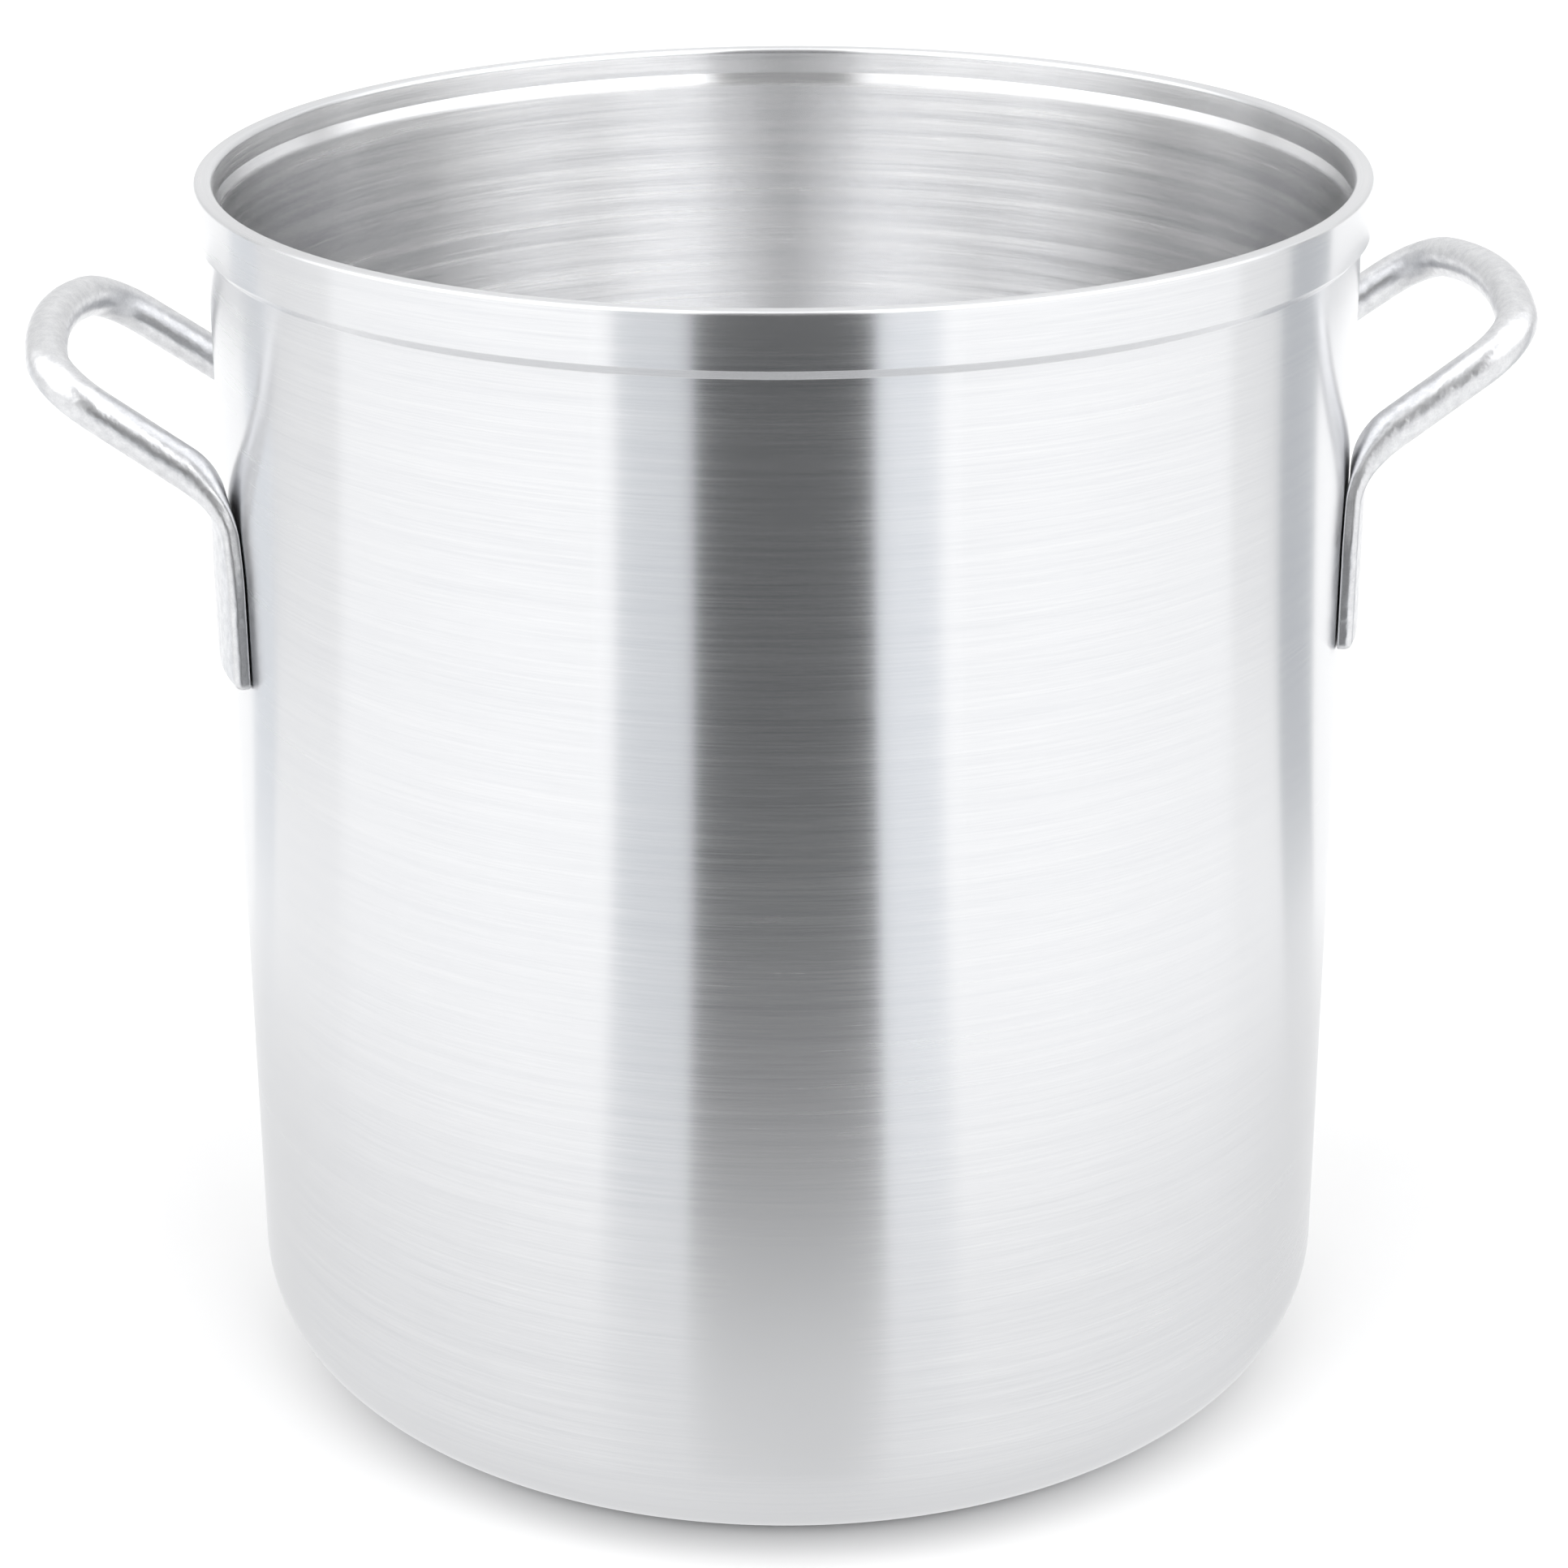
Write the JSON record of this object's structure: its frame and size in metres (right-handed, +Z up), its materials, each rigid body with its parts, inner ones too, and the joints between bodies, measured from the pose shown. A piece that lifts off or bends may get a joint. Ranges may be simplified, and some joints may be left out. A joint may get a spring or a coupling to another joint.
{
  "type": "stock pot",
  "caption": "Tall straight-sided spun aluminium stock pot with a thick stepped rim and bent-rod loop handles riveted to the wall.",
  "frame": {"origin": "centre of the flat underside", "axes": "+Z up along the pot's axis, +X towards the right handle, -Y towards the front"},
  "size_m": [0.4804, 0.3692, 0.4023],
  "materials": {
    "shell": "spun satin, with fine rings round the wall",
    "handles": "tumbled satin",
    "rivets": "satin"
  },
  "bodies": {
    "root": {"pot_body": "shell", "left_handle": "handles", "right_handle": "handles", "left_front_lower_rivet": "rivets", "left_front_upper_rivet": "rivets", "left_back_lower_rivet": "rivets", "left_back_upper_rivet": "rivets", "right_front_lower_rivet": "rivets", "right_front_upper_rivet": "rivets", "right_back_lower_rivet": "rivets", "right_back_upper_rivet": "rivets"}
  },
  "joints": []
}
